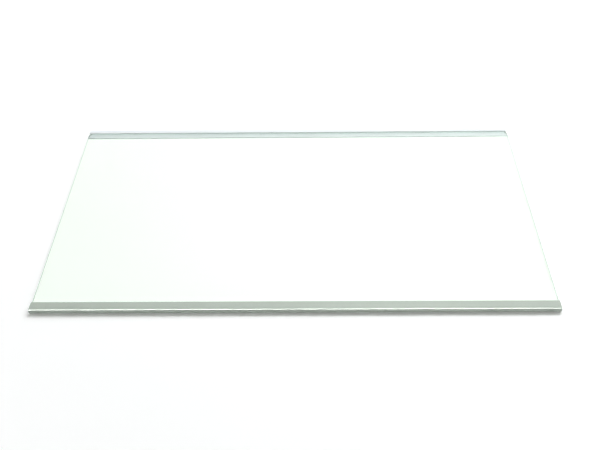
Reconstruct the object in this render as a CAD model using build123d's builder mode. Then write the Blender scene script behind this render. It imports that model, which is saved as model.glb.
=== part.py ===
from build123d import *
import os

# Refrigerator shelf: a toughened glass pane with an extruded trim pushed onto its front and rear edges.
# Lengths are in millimetres. X runs along the width, the front trim's nose faces -Y and +Z is up.
# The origin is under the middle of the shelf, on the plane that both trims rest on.

# Overall size: across the pane and the front trim, and from the front trim's nose to the rear trim's back
shelf_width = 520.0
shelf_depth = 300.0

# Glass pane: corners rounded in plan before toughening, edges ground to a round
glass_thickness = 4.0
glass_corner_radius = 8.0
glass_edge_radius = 1.5

# Shared by both trims: the wall under the pane, the lands that grip it, the relief between the lands,
# the gap left behind the pane's edge and the small radii of the extruded section
bottom_wall = 1.5
grip_land = 1.0
grip_relief = 0.3
glass_end_gap = 0.3
lip_tip_radius = 0.5
relief_radius = 0.2

# Front trim: a deep channel with a crowned top lip that thins towards the glass, and a nose that is tight
# at its top edge and rounds well under at its foot
front_trim_depth = 11.5
front_web = 2.6
front_top_wall = 1.5
front_lip_wall = 1.1
front_crown = 0.2
front_land_count = 2
nose_top_radius = 1.2
nose_bottom_radius = 4.0

# Rear trim: a slim channel with a softly rounded back, cut short of the pane's round corners. Its lower lip
# reaches further under the pane than the upper one does over it, so that it shows through the glass.
rear_trim_depth = 6.0
rear_lower_reach = 6.0
rear_end_setback = 1.0
rear_web = 1.8
rear_top_wall = 1.4
rear_land_count = 1
back_radius = 1.0

# Places that follow from the sizes above
nose_y = -shelf_depth / 2
front_lip_y = nose_y + front_trim_depth
back_y = shelf_depth / 2
rear_lip_y = back_y - rear_trim_depth
rear_toe_y = rear_lip_y - rear_lower_reach
glass_front_y = nose_y + front_web + glass_end_gap
glass_back_y = back_y - rear_web - glass_end_gap
glass_bottom = bottom_wall
glass_top = glass_bottom + glass_thickness
glass_middle = glass_bottom + glass_thickness / 2
relief_height = glass_thickness + 2 * grip_relief

os.makedirs("parts", exist_ok=True)


def cut_channel(web_face_y, lip_tip_y, land_count):
    """Cut the glass channel from a trim's section: a slot as high as the pane, relieved between its lands."""
    channel_depth = abs(lip_tip_y - web_face_y)
    towards_lip = 1 if lip_tip_y > web_face_y else -1
    land_pitch = channel_depth / land_count
    relief_depth = land_pitch - grip_land
    with Locations(((web_face_y + lip_tip_y) / 2, glass_middle)):
        Rectangle(channel_depth, glass_thickness, mode=Mode.SUBTRACT)
    relief_places = [
        (web_face_y + towards_lip * (land * land_pitch + relief_depth / 2), glass_middle)
        for land in range(land_count)
    ]
    with Locations(*relief_places):
        RectangleRounded(relief_depth, relief_height, relief_radius, mode=Mode.SUBTRACT)


# Glass pane
with BuildPart() as glass_panel:
    with BuildSketch(Plane.XY.offset(glass_bottom)):
        with Locations((0, (glass_front_y + glass_back_y) / 2)):
            RectangleRounded(shelf_width, glass_back_y - glass_front_y, glass_corner_radius)
    extrude(amount=glass_thickness)
    broad_faces = glass_panel.faces().filter_by(Axis.Z)
    fillet(broad_faces.edges(), glass_edge_radius)

# Front trim: the section is drawn looking along the width, then extruded to both cut ends
with BuildPart() as front_trim:
    with BuildSketch(Plane.YZ) as front_section:
        lip_corner = (front_lip_y, glass_top + front_lip_wall)
        nose_corner = (nose_y, glass_top + front_top_wall)
        with BuildLine():
            Polyline(nose_corner, (nose_y, 0), (front_lip_y, 0), lip_corner)
            SagittaArc(nose_corner, lip_corner, front_crown)
        make_face()
        nose_bottom = front_section.vertices().group_by(Axis.X)[0].sort_by(Axis.Y)[0]
        fillet(nose_bottom, nose_bottom_radius)
        nose_top = front_section.vertices().group_by(Axis.X)[0].sort_by(Axis.Y)[-1]
        fillet(nose_top, nose_top_radius)
        fillet(front_section.vertices().group_by(Axis.X)[-1], lip_tip_radius)
        cut_channel(nose_y + front_web, front_lip_y, front_land_count)
    extrude(amount=shelf_width / 2, both=True)

# Rear trim
with BuildPart() as rear_trim:
    with BuildSketch(Plane.YZ) as rear_section:
        with BuildLine():
            Polyline(
                (back_y, 0),
                (rear_toe_y, 0),
                (rear_toe_y, glass_bottom),
                (rear_lip_y, glass_bottom),
                (rear_lip_y, glass_top + rear_top_wall),
                (back_y, glass_top + rear_top_wall),
                close=True,
            )
        make_face()
        upper_lip_tip = rear_section.vertices().group_by(Axis.X)[1].sort_by(Axis.Y)[-1]
        fillet(upper_lip_tip, lip_tip_radius)
        lower_lip_toe = rear_section.vertices().group_by(Axis.X)[0].sort_by(Axis.Y)[0]
        fillet(lower_lip_toe, lip_tip_radius)
        fillet(rear_section.vertices().group_by(Axis.X)[-1], back_radius)
        cut_channel(back_y - rear_web, rear_lip_y, rear_land_count)
    extrude(amount=shelf_width / 2 - rear_end_setback, both=True)

glass_panel.part.label = "glass_panel"
front_trim.part.label = "front_trim"
rear_trim.part.label = "rear_trim"

export_step(glass_panel.part, "parts/glass_panel.step")
export_step(front_trim.part, "parts/front_trim.step")
export_step(rear_trim.part, "parts/rear_trim.step")
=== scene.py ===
"""The looks of a refrigerator glass shelf: finer meshes, finishes, floor, light and camera."""

import math

import bmesh
import bpy
from mathutils import Matrix, Vector


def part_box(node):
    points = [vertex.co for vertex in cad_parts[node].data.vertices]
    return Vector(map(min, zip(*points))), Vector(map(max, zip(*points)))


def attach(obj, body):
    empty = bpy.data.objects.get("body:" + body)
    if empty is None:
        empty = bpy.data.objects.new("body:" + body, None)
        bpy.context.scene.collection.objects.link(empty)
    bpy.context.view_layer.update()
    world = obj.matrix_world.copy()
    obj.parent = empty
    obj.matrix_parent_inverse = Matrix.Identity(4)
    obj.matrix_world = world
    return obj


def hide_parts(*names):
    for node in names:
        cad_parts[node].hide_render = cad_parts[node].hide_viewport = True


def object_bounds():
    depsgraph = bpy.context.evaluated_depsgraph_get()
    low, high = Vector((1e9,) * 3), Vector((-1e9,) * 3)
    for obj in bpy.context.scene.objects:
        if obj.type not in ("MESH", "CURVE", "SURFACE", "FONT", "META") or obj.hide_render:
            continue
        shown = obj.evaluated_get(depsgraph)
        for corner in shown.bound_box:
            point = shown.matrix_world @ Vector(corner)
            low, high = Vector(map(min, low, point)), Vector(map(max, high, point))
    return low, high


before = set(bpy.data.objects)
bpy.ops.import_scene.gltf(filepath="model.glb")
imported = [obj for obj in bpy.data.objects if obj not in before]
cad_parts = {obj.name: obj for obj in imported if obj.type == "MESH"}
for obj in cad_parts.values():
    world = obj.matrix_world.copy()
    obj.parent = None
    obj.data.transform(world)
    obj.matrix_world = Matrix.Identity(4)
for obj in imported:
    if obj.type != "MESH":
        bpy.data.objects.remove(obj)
cad_low, cad_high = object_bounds()

MM = 0.001

# Places of the three pieces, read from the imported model
glass_low, glass_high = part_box("glass_panel")
front_low, front_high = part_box("front_trim")
rear_low, rear_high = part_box("rear_trim")

# Section sizes that a box doesn't give, the same as in the model
glass_corner_radius = 8.0 * MM
glass_edge_radius = 1.5 * MM
grip_land = 1.0 * MM
grip_relief = 0.3 * MM
glass_end_gap = 0.3 * MM
relief_radius = 0.2 * MM
lip_tip_radius = 0.5 * MM
front_top_wall = 1.5 * MM
front_lip_wall = 1.1 * MM
front_crown = 0.2 * MM
front_land_count = 2
nose_top_radius = 1.2 * MM
nose_bottom_radius = 4.0 * MM
rear_lower_reach = 6.0 * MM
rear_land_count = 1
back_radius = 1.0 * MM

# The rear trim's lower lip is pressed onto the glass with no air between, so it bites in by a trace
lip_contact = 0.01 * MM

# How the meshes are drawn: the steps of arcs and of the crown, how far the crown's points keep from the two
# corners beside it, the angle from which an edge is crisp, and how much large faces count in the shading
arc_step = math.radians(6.0)
crown_steps = 16
crown_from_tip = 2 * lip_tip_radius
crown_from_nose = 1.2 * nose_top_radius
sharp_angle = math.radians(30.0)
flat_face_weight = 90

# The ease that deburring leaves on a saw-cut end
cut_ease = 0.15 * MM


def rounded_outline(corners):
    """The points of a closed outline given by its corners (across, up, radius), each rounded by an arc."""
    places = [Vector(corner[:2]) for corner in corners]
    outline = []
    for index, place in enumerate(places):
        radius = corners[index][2]
        if radius == 0:
            outline.append(place)
            continue
        back = (places[index - 1] - place).normalized()
        ahead = (places[(index + 1) % len(places)] - place).normalized()
        half_angle = back.angle(ahead) / 2
        centre = place + (back + ahead).normalized() * radius / math.sin(half_angle)
        first_spoke = place + back * radius / math.tan(half_angle) - centre
        turn = math.copysign(math.pi - 2 * half_angle, ahead.cross(back))
        steps = max(2, round(abs(turn) / arc_step))
        for step in range(steps + 1):
            outline.append(centre + Matrix.Rotation(turn * step / steps, 2) @ first_spoke)
    return outline


def channel_corners(web_y, tip_y, land_count):
    """The inside of a trim, from the lower lip's tip round to the upper one's: grip lands and reliefs."""
    land_pitch = (tip_y - web_y) / land_count
    land = math.copysign(grip_land, land_pitch)
    lower = []
    for index in reversed(range(land_count)):
        relief_lip_side = web_y + (index + 1) * land_pitch - land
        relief_web_side = web_y + index * land_pitch
        lower += [
            (relief_lip_side, glass_low.z, 0),
            (relief_lip_side, glass_low.z - grip_relief, relief_radius),
            (relief_web_side, glass_low.z - grip_relief, relief_radius),
            (relief_web_side, glass_low.z, 0),
        ]
    # There is no land at the web, so the corner that would start one is dropped
    lower.pop()
    upper = [(y, glass_low.z + glass_high.z - z, radius) for y, z, radius in reversed(lower)]
    return lower + upper


def front_section():
    """Front trim: a rounded nose and a crowned top lip that thins towards the glass."""
    nose_y = front_low.y
    lip_y = front_high.y
    lip_z = glass_high.z + front_lip_wall
    nose_z = glass_high.z + front_top_wall
    crown_start = lip_y - crown_from_tip
    crown_end = nose_y + crown_from_nose

    def chord_z(y):
        return lip_z + (nose_z - lip_z) * (y - lip_y) / (nose_y - lip_y)

    corners = [(lip_y, glass_high.z, 0), (lip_y, lip_z, lip_tip_radius)]
    for step in range(crown_steps + 1):
        y = crown_start + (crown_end - crown_start) * step / crown_steps
        corners.append((y, chord_z(y), 0))
    corners += [
        (nose_y, nose_z, nose_top_radius),
        (nose_y, front_low.z, nose_bottom_radius),
        (lip_y, front_low.z, lip_tip_radius),
        (lip_y, glass_low.z, 0),
    ]
    corners += channel_corners(glass_low.y - glass_end_gap, lip_y, front_land_count)
    section = rounded_outline(corners)
    # The top is raised by a parabola whose height at mid-lip is the crown
    for point in section:
        if point.y > glass_high.z + grip_relief:
            share = (point.x - nose_y) / (lip_y - nose_y)
            point.y += 4 * front_crown * share * (1 - share)
    return section


def rear_section():
    """Rear trim: a slim channel with a softly rounded back, its longer lower lip pressed to the glass."""
    toe_y = rear_low.y
    tip_y = toe_y + rear_lower_reach
    back_y = rear_high.y
    corners = [
        (tip_y, glass_high.z, 0),
        (tip_y, rear_high.z, lip_tip_radius),
        (back_y, rear_high.z, back_radius),
        (back_y, rear_low.z, back_radius),
        (toe_y, rear_low.z, lip_tip_radius),
        (toe_y, glass_low.z + lip_contact, 0),
    ]
    channel = channel_corners(glass_high.y + glass_end_gap, tip_y, rear_land_count)
    # The lower lip's top runs from its toe to this corner, the end of the grip land
    land_y, land_z, land_radius = channel[0]
    channel[0] = (land_y, land_z + lip_contact, land_radius)
    return rounded_outline(corners + channel)


def extruded(section, left_x, right_x):
    """A trim: its section run along the width between two saw-cut ends whose edges are eased."""
    shape = bmesh.new()
    rings = []
    for x in (left_x + cut_ease, right_x - cut_ease):
        rings.append([shape.verts.new((x, point.x, point.y)) for point in section])
    for index in range(len(section)):
        after = (index + 1) % len(section)
        shape.faces.new((rings[0][index], rings[0][after], rings[1][after], rings[1][index]))
    ends = [shape.faces.new(ring) for ring in rings]
    bmesh.ops.recalc_face_normals(shape, faces=shape.faces)
    bmesh.ops.inset_region(shape, faces=ends, thickness=cut_ease, depth=cut_ease, use_even_offset=True)
    bmesh.ops.triangulate(shape, faces=ends)
    return shape


def pane():
    """The pane: rings of its outline, drawn in towards both broad faces so that the edge is round."""
    shape = bmesh.new()
    quarter_steps = round(math.pi / 2 / arc_step)
    rings = []
    for side in (-1, 1):
        centre_z = (glass_high if side > 0 else glass_low).z - side * glass_edge_radius
        for step in range(quarter_steps + 1):
            turn = math.pi / 2 * (step if side > 0 else quarter_steps - step) / quarter_steps
            inset = glass_edge_radius * (1 - math.cos(turn))
            z = centre_z + side * glass_edge_radius * math.sin(turn)
            radius = glass_corner_radius - inset
            outline = rounded_outline([
                (glass_low.x + inset, glass_low.y + inset, radius),
                (glass_high.x - inset, glass_low.y + inset, radius),
                (glass_high.x - inset, glass_high.y - inset, radius),
                (glass_low.x + inset, glass_high.y - inset, radius),
            ])
            rings.append([shape.verts.new((point.x, point.y, z)) for point in outline])
    for lower, upper in zip(rings, rings[1:]):
        for index in range(len(lower)):
            after = (index + 1) % len(lower)
            shape.faces.new((lower[index], lower[after], upper[after], upper[index]))
    shape.faces.new(rings[0])
    shape.faces.new(rings[-1])
    bmesh.ops.recalc_face_normals(shape, faces=shape.faces)
    return shape


def put_piece(shape, name, node_name, finish):
    """Make a piece of a mesh, smooth where it is round and crisp at cut edges, in the place of its node."""
    for face in shape.faces:
        face.smooth = True
    for edge in shape.edges:
        edge.smooth = edge.calc_face_angle(0) < sharp_angle
    mesh = bpy.data.meshes.new(name)
    shape.to_mesh(mesh)
    shape.free()
    mesh.materials.append(finish)
    piece = bpy.data.objects.new(name, mesh)
    bpy.context.scene.collection.objects.link(piece)
    flat_faces = piece.modifiers.new("flat_faces_stay_flat", "WEIGHTED_NORMAL")
    flat_faces.weight = flat_face_weight
    flat_faces.keep_sharp = True
    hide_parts(node_name)
    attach(piece, "root")


def linear(hex_colour):
    """A linear colour from an sRGB hex value."""
    shares = [int(hex_colour[start:start + 2], 16) / 255 for start in (1, 3, 5)]
    return (*((s / 12.92 if s <= 0.04045 else ((s + 0.055) / 1.055) ** 2.4) for s in shares), 1.0)


def add(tree, kind, sockets=None, **settings):
    """Add a node with its settings. A socket takes a value, or a link if given another node's output."""
    node = tree.nodes.new(kind)
    for name, value in settings.items():
        setattr(node, name, value)
    for name, value in (sockets or {}).items():
        if isinstance(value, bpy.types.NodeSocket):
            tree.links.new(value, node.inputs[name])
        else:
            node.inputs[name].default_value = value
    return node


# A mix node's sockets share their names, so they are told apart by number
first_number = 2
second_number = 3
first_colour = 6
second_colour = 7
mixed_colour = 2

# Most of a noise pattern lies between these
noise_low = 0.3
noise_high = 0.7


def new_finish(name):
    """An empty node material and its tree."""
    finish = bpy.data.materials.new(name)
    finish.use_nodes = True
    finish.node_tree.nodes.clear()
    return finish, finish.node_tree


# Float glass, the share of light from which a face counts as mirroring all of it, and how upright a normal
# is where a broad face ends and where the edge is fully ground
glass_ior = 1.52
wholly_mirrored = 0.99
face_upright = 0.97
edge_upright = 0.80


def ground_edge_float_glass():
    """Toughened float glass, its edges ground round.

    The polished faces mirror the room and show a faint mint, and the satin edges look pale green.
    """
    finish, tree = new_finish("toughened_float_glass_ground_edges")
    coords = add(tree, "ShaderNodeTexCoord")
    facing = add(tree, "ShaderNodeSeparateXYZ", {"Vector": coords.outputs["Normal"]})
    upright = add(tree, "ShaderNodeMath", {0: facing.outputs["Z"]}, operation="ABSOLUTE")
    edge = add(tree, "ShaderNodeMapRange", {
        "Value": upright.outputs[0], "From Min": face_upright, "From Max": edge_upright,
    }, interpolation_type="SMOOTHSTEP")
    # Wipe marks a few centimetres wide, which only just soften the mirror
    wipe_mark_width = 45 * MM
    wipe_marks = add(tree, "ShaderNodeTexNoise", {
        "Vector": coords.outputs["Object"], "Scale": 1 / wipe_mark_width, "Detail": 3.0, "Distortion": 0.8,
    })
    face_haze = add(tree, "ShaderNodeMapRange", {
        "Value": wipe_marks.outputs["Fac"], "From Min": 0.45, "From Max": 0.8, "To Min": 0.0, "To Max": 0.02,
    })
    # Grinding grit of about 0.1 mm, drawn 0.6 mm wide so that it shows
    grit_width = 0.6 * MM
    grit = add(tree, "ShaderNodeTexNoise", {
        "Vector": coords.outputs["Object"], "Scale": 1 / grit_width, "Detail": 2.0,
    })
    edge_satin = add(tree, "ShaderNodeMapRange", {
        "Value": grit.outputs["Fac"], "From Min": noise_low, "From Max": noise_high,
        "To Min": 0.16, "To Max": 0.32,
    })
    roughness = add(tree, "ShaderNodeMix", {
        "Factor": edge.outputs[0],
        first_number: face_haze.outputs[0],
        second_number: edge_satin.outputs[0],
    })
    clear_or_ground = add(tree, "ShaderNodeMix", {
        "Factor": edge.outputs[0], first_colour: linear("#F4F8F4"), second_colour: linear("#A9B9AE"),
    }, data_type="RGBA")
    glass = add(tree, "ShaderNodeBsdfPrincipled", {
        "Base Color": clear_or_ground.outputs[mixed_colour],
        "Roughness": roughness.outputs[0],
        "IOR": glass_ior,
        "Transmission Weight": 1.0,
    })
    # Light from the lamps and off other surfaces passes unbent, so that the floor under the pane stays lit.
    # So does light that the glass would mirror to and fro between its faces without end.
    clear_face = linear("#FBFCFB")
    dim_edge = linear("#B9C4BC")
    shadow_tint = add(tree, "ShaderNodeMix", {
        "Factor": edge.outputs[0], first_colour: clear_face, second_colour: dim_edge,
    }, data_type="RGBA")
    let_through = add(tree, "ShaderNodeBsdfTransparent", {"Color": shadow_tint.outputs[mixed_colour]})
    mirrored = add(tree, "ShaderNodeFresnel", {"IOR": glass_ior})
    trapped = add(tree, "ShaderNodeMath", {
        0: mirrored.outputs[0], 1: wholly_mirrored,
    }, operation="GREATER_THAN")
    for_trapped = add(tree, "ShaderNodeMixShader", {
        0: trapped.outputs[0], 1: glass.outputs[0], 2: let_through.outputs[0],
    })
    light_path = add(tree, "ShaderNodeLightPath")
    for_bounces = add(tree, "ShaderNodeMixShader", {
        0: light_path.outputs["Is Diffuse Ray"], 1: for_trapped.outputs[0], 2: let_through.outputs[0],
    })
    for_shadows = add(tree, "ShaderNodeMixShader", {
        0: light_path.outputs["Is Shadow Ray"], 1: for_bounces.outputs[0], 2: let_through.outputs[0],
    })
    depth_tint = add(tree, "ShaderNodeVolumeAbsorption", {"Color": linear("#76E842"), "Density": 5.5})
    add(tree, "ShaderNodeOutputMaterial", {
        "Surface": for_shadows.outputs[0], "Volume": depth_tint.outputs[0],
    })
    return finish


# Lines that an extrusion die draws along a trim, about 0.1 mm apart, drawn wider so that they show
die_line_length = 120 * MM
die_line_width = 0.5 * MM
die_line_depth = 0.02 * MM


def drawn_by_die(tree, coords):
    """The die lines of an extruded trim, as a node whose factor is their height."""
    along_die = add(tree, "ShaderNodeMapping", {
        "Vector": coords.outputs["Object"],
        "Scale": (1 / die_line_length, 1 / die_line_width, 1 / die_line_width),
    })
    return add(tree, "ShaderNodeTexNoise", {
        "Vector": along_die.outputs[0], "Scale": 1.0, "Detail": 2.0,
    })


# How far a normal points along the trim where its side ends and where its saw cut begins
side_endwise = 0.85
cut_endwise = 0.95


def silver_lacquered_plastic():
    """Extruded plastic with a satin silver lacquer.

    Fine flake gives a grey sheen, the nose carries a thin highlight, and the saw cuts show bare plastic.
    """
    finish, tree = new_finish("silver_lacquered_extruded_plastic")
    coords = add(tree, "ShaderNodeTexCoord")
    facing = add(tree, "ShaderNodeSeparateXYZ", {"Vector": coords.outputs["Normal"]})
    endwise = add(tree, "ShaderNodeMath", {0: facing.outputs["X"]}, operation="ABSOLUTE")
    cut_end = add(tree, "ShaderNodeMapRange", {
        "Value": endwise.outputs[0], "From Min": side_endwise, "From Max": cut_endwise,
    })
    die_lines = drawn_by_die(tree, coords)
    # Metal flake of about 0.03 mm, drawn 1.1 mm wide so that it shows
    flake_width = 1.1 * MM
    flake = add(tree, "ShaderNodeTexNoise", {
        "Vector": coords.outputs["Object"], "Scale": 1 / flake_width, "Detail": 2.0, "Roughness": 0.7,
    })
    # The lacquer lies a little thicker in places, a few centimetres wide
    pool_width = 60 * MM
    lacquer_pool = add(tree, "ShaderNodeTexNoise", {
        "Vector": coords.outputs["Object"], "Scale": 1 / pool_width, "Detail": 2.0,
    })
    flake_and_pool = add(tree, "ShaderNodeMath", {
        0: flake.outputs["Fac"], 1: lacquer_pool.outputs["Fac"],
    }, operation="ADD")
    tone = add(tree, "ShaderNodeMapRange", {
        "Value": flake_and_pool.outputs[0], "From Min": 0.7, "From Max": 1.3,
    })
    silver = add(tree, "ShaderNodeMix", {
        "Factor": tone.outputs[0], first_colour: linear("#BAC4BB"), second_colour: linear("#C3CDC4"),
    }, data_type="RGBA")
    colour = add(tree, "ShaderNodeMix", {
        "Factor": cut_end.outputs[0],
        first_colour: silver.outputs[mixed_colour],
        second_colour: linear("#9AA39C"),
    }, data_type="RGBA")
    satin = add(tree, "ShaderNodeMapRange", {
        "Value": die_lines.outputs["Fac"], "From Min": noise_low, "From Max": noise_high,
        "To Min": 0.18, "To Max": 0.26,
    })
    roughness = add(tree, "ShaderNodeMix", {
        "Factor": cut_end.outputs[0], first_number: satin.outputs[0], second_number: 0.6,
    })
    metal_share = add(tree, "ShaderNodeMapRange", {
        "Value": cut_end.outputs[0], "To Min": 0.15, "To Max": 0.0,
    })
    die_relief = add(tree, "ShaderNodeBump", {
        "Height": die_lines.outputs["Fac"], "Strength": 0.1, "Distance": die_line_depth,
    })
    lacquer = add(tree, "ShaderNodeBsdfPrincipled", {
        "Base Color": colour.outputs[mixed_colour],
        "Metallic": metal_share.outputs[0],
        "Roughness": roughness.outputs[0],
        "IOR": 1.5,
        "Normal": die_relief.outputs[0],
    })
    add(tree, "ShaderNodeOutputMaterial", {"Surface": lacquer.outputs[0]})
    return finish


def milky_extruded_plastic():
    """Natural extruded plastic without pigment, satin from the die.

    It looks a cool milky white, and most light passes on through it, so it throws hardly any shadow.
    """
    finish, tree = new_finish("milky_natural_extruded_plastic")
    coords = add(tree, "ShaderNodeTexCoord")
    die_lines = drawn_by_die(tree, coords)
    # Faint clouds a few centimetres wide, where the melt mixed unevenly
    cloud_width = 25 * MM
    cloud = add(tree, "ShaderNodeTexNoise", {
        "Vector": coords.outputs["Object"], "Scale": 1 / cloud_width, "Detail": 2.0,
    })
    colour = add(tree, "ShaderNodeMix", {
        "Factor": cloud.outputs["Fac"], first_colour: linear("#F0F5FB"), second_colour: linear("#F4F8FE"),
    }, data_type="RGBA")
    satin = add(tree, "ShaderNodeMapRange", {
        "Value": die_lines.outputs["Fac"], "From Min": noise_low, "From Max": noise_high,
        "To Min": 0.30, "To Max": 0.42,
    })
    die_relief = add(tree, "ShaderNodeBump", {
        "Height": die_lines.outputs["Fac"], "Strength": 0.2, "Distance": die_line_depth,
    })
    plastic = add(tree, "ShaderNodeBsdfPrincipled", {
        "Base Color": colour.outputs[mixed_colour],
        "Roughness": satin.outputs[0],
        "IOR": 1.49,
        "Subsurface Weight": 0.1,
        "Subsurface Radius": (1.0, 1.0, 1.0),
        "Subsurface Scale": 1.0 * MM,
        "Normal": die_relief.outputs[0],
    })
    # Light from the lamps goes on through it, hardly dimmed
    let_through = add(tree, "ShaderNodeBsdfTransparent", {"Color": linear("#FDFDFE")})
    light_path = add(tree, "ShaderNodeLightPath")
    for_shadows = add(tree, "ShaderNodeMixShader", {
        0: light_path.outputs["Is Shadow Ray"], 1: plastic.outputs[0], 2: let_through.outputs[0],
    })
    add(tree, "ShaderNodeOutputMaterial", {"Surface": for_shadows.outputs[0]})
    return finish


# Stage: a plain pale floor at the shelf's resting plane, its sizes in metres. A little light of its own
# brings it up to white, and grows from the near reach to the far one, where the lamps light the floor less
floor_half = 6.0
near_reach = 0.2
far_reach = 1.3
near_glow = 0.2
far_glow = 1.0


def pale_floor():
    """Matt white paper: it takes the shelf's shadow, and stays white all the way out."""
    finish, tree = new_finish("matt_white_paper")
    finish.cycles.emission_sampling = "NONE"
    coords = add(tree, "ShaderNodeTexCoord")
    # Clumps of fibre a few millimetres wide, drawn 30 mm wide so that they show
    clump_width = 30 * MM
    fibre = add(tree, "ShaderNodeTexNoise", {
        "Vector": coords.outputs["Object"], "Scale": 1 / clump_width, "Detail": 2.0,
    })
    paper = add(tree, "ShaderNodeMix", {
        "Factor": fibre.outputs["Fac"], first_colour: linear("#F2F3F5"), second_colour: linear("#F5F6F8"),
    }, data_type="RGBA")
    matt = add(tree, "ShaderNodeBsdfDiffuse", {"Color": paper.outputs[mixed_colour]})
    light_path = add(tree, "ShaderNodeLightPath")
    seen = light_path.outputs["Is Camera Ray"]
    for ray in ("Is Glossy Ray", "Is Transmission Ray"):
        seen = add(tree, "ShaderNodeMath", {0: seen, 1: light_path.outputs[ray]}, operation="ADD").outputs[0]
    reach = add(tree, "ShaderNodeVectorMath", {0: coords.outputs["Object"]}, operation="LENGTH")
    glow_level = add(tree, "ShaderNodeMapRange", {
        "Value": reach.outputs["Value"], "From Min": near_reach, "From Max": far_reach,
        "To Min": near_glow, "To Max": far_glow,
    }, interpolation_type="SMOOTHSTEP")
    glow_strength = add(tree, "ShaderNodeMath", {0: seen, 1: glow_level.outputs[0]}, operation="MULTIPLY")
    glow = add(tree, "ShaderNodeEmission", {"Strength": glow_strength.outputs[0]})
    both = add(tree, "ShaderNodeAddShader", {0: matt.outputs[0], 1: glow.outputs[0]})
    add(tree, "ShaderNodeOutputMaterial", {"Surface": both.outputs[0]})
    mesh = bpy.data.meshes.new("floor")
    shape = bmesh.new()
    corners = [(-1, -1), (1, -1), (1, 1), (-1, 1)]
    shape.faces.new([shape.verts.new((x * floor_half, y * floor_half, cad_low.z)) for x, y in corners])
    shape.to_mesh(mesh)
    shape.free()
    mesh.materials.append(finish)
    floor = bpy.data.objects.new("floor", mesh)
    bpy.context.scene.collection.objects.link(floor)


# Light levels of the room's front, of its back and of the soft window in its back, where 1 looks white.
# Back and window fade in between two values along an axis of the direction looked at, and the window stays
# clear of what the pane's left mirrors.
front_level = 0.14
back_level = 0.3
back_sides = (-0.3, 0.5)
window_level = 0.4
window_sides = {"X": (-0.36, 0.0), "Y": (0.30, 0.50), "Z": (0.40, 0.56)}


def white_room():
    """Pale surroundings for the shelf to mirror, dimmer and warmer in front, and white to the camera."""
    world = bpy.data.worlds.new("white_room")
    bpy.context.scene.world = world
    world.use_nodes = True
    world.cycles.sampling_method = "NONE"
    tree = world.node_tree
    tree.nodes.clear()
    coords = add(tree, "ShaderNodeTexCoord")
    direction = add(tree, "ShaderNodeSeparateXYZ", {"Vector": coords.outputs["Generated"]})
    front_to_back = add(tree, "ShaderNodeMapRange", {
        "Value": direction.outputs["Y"], "From Min": back_sides[0], "From Max": back_sides[1],
    }, interpolation_type="SMOOTHSTEP")
    walls = add(tree, "ShaderNodeMapRange", {
        "Value": front_to_back.outputs[0], "To Min": front_level, "To Max": back_level,
    })
    window = window_level
    for axis, (outside, inside) in window_sides.items():
        side = add(tree, "ShaderNodeMapRange", {
            "Value": direction.outputs[axis], "From Min": outside, "From Max": inside,
        }, interpolation_type="SMOOTHSTEP")
        faded = add(tree, "ShaderNodeMath", {0: side.outputs[0], 1: window}, operation="MULTIPLY")
        window = faded.outputs[0]
    strength = add(tree, "ShaderNodeMath", {0: walls.outputs[0], 1: window}, operation="ADD")
    shade = add(tree, "ShaderNodeMix", {
        "Factor": front_to_back.outputs[0],
        first_colour: linear("#FAFFE8"),
        second_colour: linear("#FFFFFF"),
    }, data_type="RGBA")
    room = add(tree, "ShaderNodeBackground", {
        "Color": shade.outputs[mixed_colour], "Strength": strength.outputs[0],
    })
    white = add(tree, "ShaderNodeBackground", {"Color": linear("#FFFFFF"), "Strength": 1.0})
    light_path = add(tree, "ShaderNodeLightPath")
    seen = add(tree, "ShaderNodeMixShader", {
        0: light_path.outputs["Is Camera Ray"], 1: room.outputs[0], 2: white.outputs[0],
    })
    add(tree, "ShaderNodeOutputWorld", {"Surface": seen.outputs[0]})


# The power at which a square metre of lamp looks white
white_lamp_watts = 4


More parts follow.
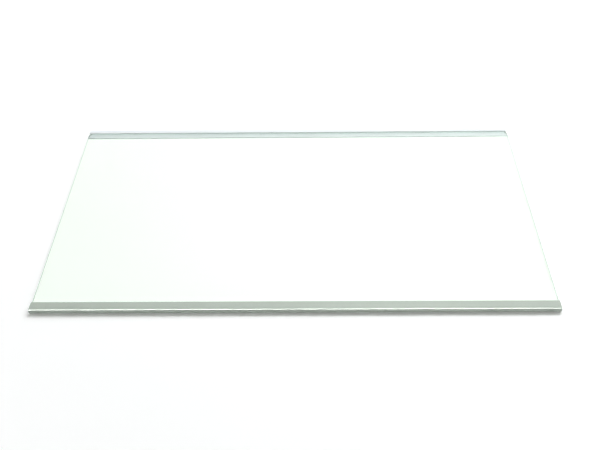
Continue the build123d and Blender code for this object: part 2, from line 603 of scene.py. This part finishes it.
def softbox(name, place, width, height, brightness, only_in_gloss=False):
    """A flat lamp at a place in metres that faces the shelf, with its width along the shelf's.

    Brightness 1 looks white. It lights the shelf and shows in no mirror, unless it is there for gloss alone.
    """
    lamp = bpy.data.lights.new(name, "AREA")
    lamp.shape = "RECTANGLE"
    lamp.size = width
    lamp.size_y = height
    lamp.energy = brightness * white_lamp_watts * width * height
    away = Vector(place).normalized()
    across = (Vector((1, 0, 0)) - away * away.x).normalized()
    facing = Matrix((across, away.cross(across), away)).transposed().to_4x4()
    stand = bpy.data.objects.new(name, lamp)
    stand.matrix_world = Matrix.Translation(place) @ facing
    stand.visible_camera = False
    stand.visible_transmission = False
    stand.visible_diffuse = not only_in_gloss
    stand.visible_glossy = only_in_gloss
    bpy.context.scene.collection.objects.link(stand)


def studio_light():
    """A long softbox overhead, back and to the right, a broad one behind, and a strip in front for gloss."""
    softbox("overhead", (0.40, 0.34, 1.25), width=1.6, height=0.45, brightness=5.1)
    softbox("back_light", (0.30, 1.25, 1.50), width=1.6, height=0.7, brightness=2.2)
    softbox("gloss_strip", (-0.05, -0.55, 1.18), width=2.6, height=0.4, brightness=25, only_in_gloss=True)


# Camera: the photograph's viewpoint, from the shelf's own perspective, with its angles in degrees and its
# film in millimetres
camera_place = Vector((17.6, -672.5, 593.5)) * MM
camera_heading = 1.12
camera_down_tilt = 42.29
camera_roll = -1.04
picture_width = 600
focal_length_pixels = 803.7
film_width = 36.0


def place_camera():
    """A normal lens that looks down on the shelf from the front."""
    lens = bpy.data.cameras.new("camera")
    lens.sensor_width = film_width
    lens.lens = focal_length_pixels * film_width / picture_width
    lens.clip_start = 0.01
    camera = bpy.data.objects.new("camera", lens)
    heading = Matrix.Rotation(math.radians(camera_heading), 4, "Z")
    tilt = Matrix.Rotation(math.radians(90 - camera_down_tilt), 4, "X")
    roll = Matrix.Rotation(math.radians(camera_roll), 4, "Z")
    camera.matrix_world = Matrix.Translation(camera_place) @ heading @ tilt @ roll
    bpy.context.scene.collection.objects.link(camera)
    bpy.context.scene.camera = camera


put_piece(pane(), "glass_pane", "glass_panel", ground_edge_float_glass())
front_profile = extruded(front_section(), front_low.x, front_high.x)
rear_profile = extruded(rear_section(), rear_low.x, rear_high.x)
put_piece(front_profile, "front_trim_profile", "front_trim", silver_lacquered_plastic())
put_piece(rear_profile, "rear_trim_profile", "rear_trim", milky_extruded_plastic())
pale_floor()
white_room()
studio_light()
place_camera()
bpy.context.scene.view_settings.view_transform = "Standard"
